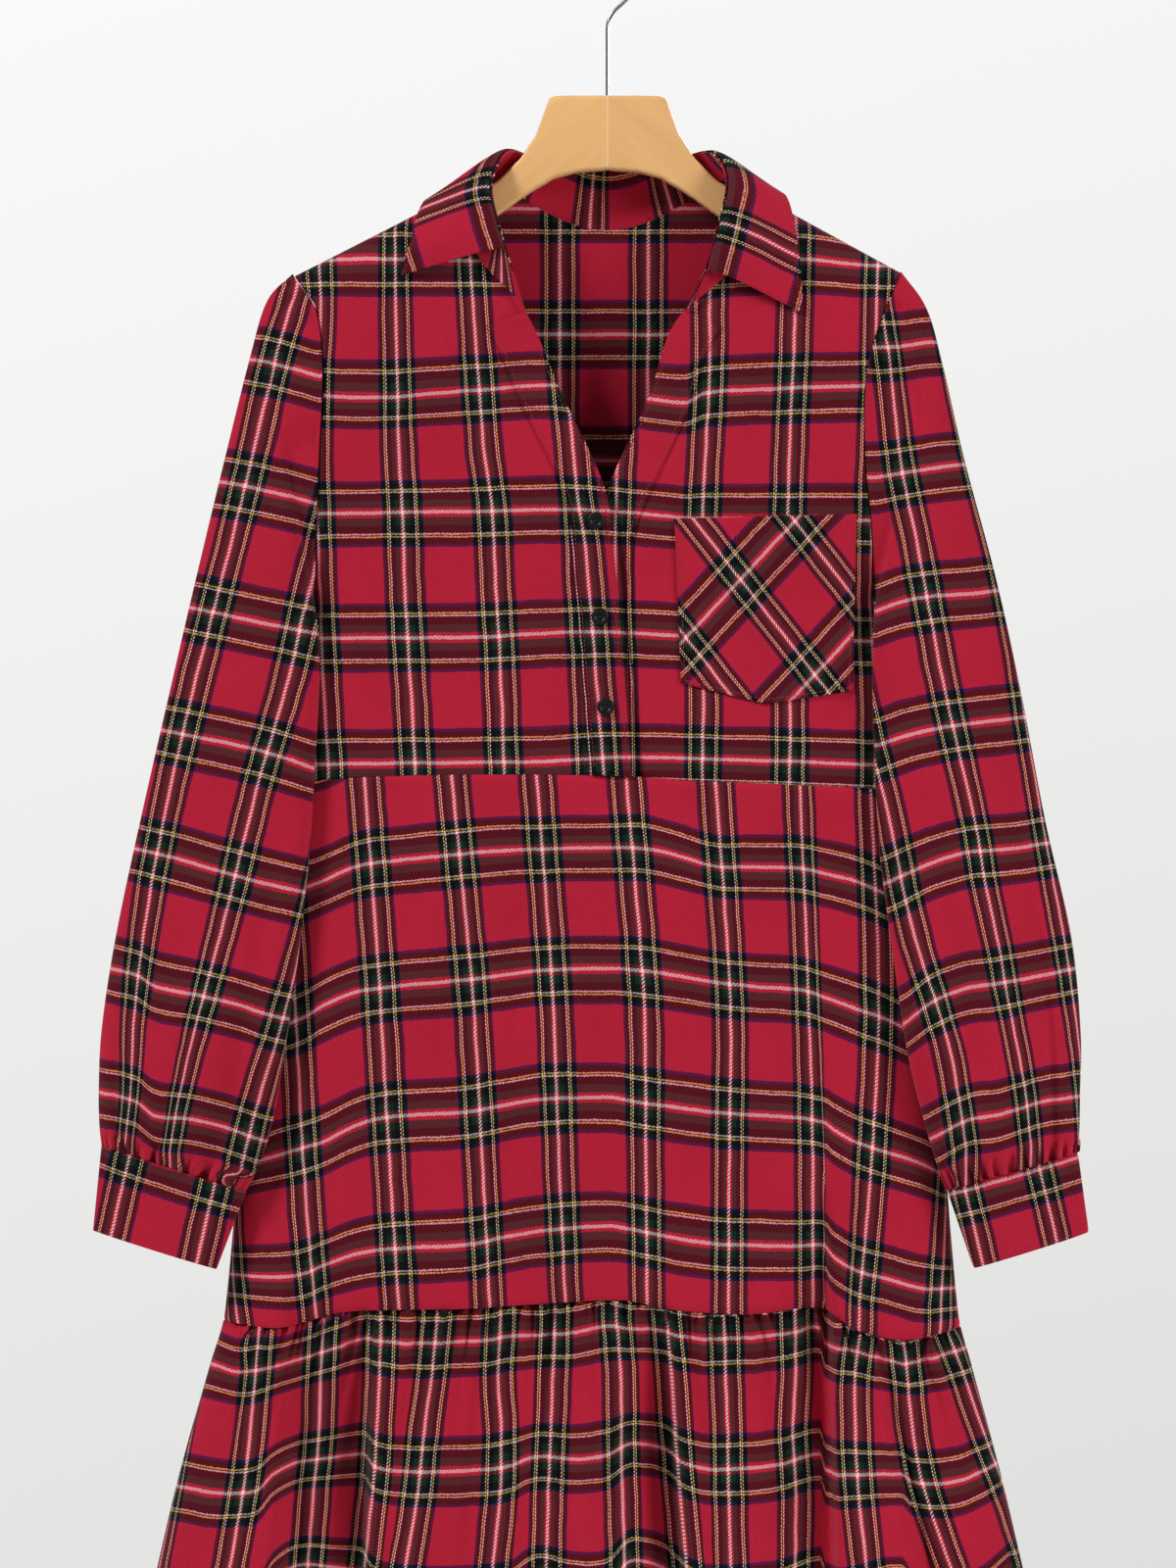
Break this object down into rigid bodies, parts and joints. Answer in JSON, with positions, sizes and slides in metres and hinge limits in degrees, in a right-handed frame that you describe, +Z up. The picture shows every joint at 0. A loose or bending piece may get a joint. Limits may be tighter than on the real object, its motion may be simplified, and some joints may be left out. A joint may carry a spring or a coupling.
{
  "type": "tartan mini dress on a wooden hanger",
  "caption": "Long-sleeved mini dress of red tartan flannel with an open collar, half placket, patch pocket and gathered hem ruffle, hung on a wooden hanger.",
  "frame": {"origin": "inside top of the hanger's hook, where a rail carries it", "axes": "+Z up, the front of the dress faces -Y, +X is the viewer's right seen from the front"},
  "size_m": [0.6505, 0.0917, 1.1004],
  "materials": {
    "tartan": "brushed cotton flannel, woven in a red tartan with black, green, blue, yellow and white lines",
    "wood": "satin varnished honey coloured wood",
    "steel": "polished steel wire",
    "button": "black resin, dished, soft gloss"
  },
  "bodies": {
    "root": {"hanger_hook": "steel", "hanger_wood": "wood", "bodice_front_left": "tartan", "bodice_front_right": "tartan", "bodice_back": "tartan", "placket_left": "tartan", "placket_right": "tartan", "pocket": "tartan", "collar_stand": "tartan", "collar_leaf": "tartan", "button_top": "button", "button_middle": "button", "button_bottom": "button", "skirt_front": "tartan", "skirt_back": "tartan", "ruffle_front": "tartan", "ruffle_back": "tartan", "sleeve_left": "tartan", "sleeve_right": "tartan", "cuff_left": "tartan", "cuff_right": "tartan"}
  },
  "joints": []
}
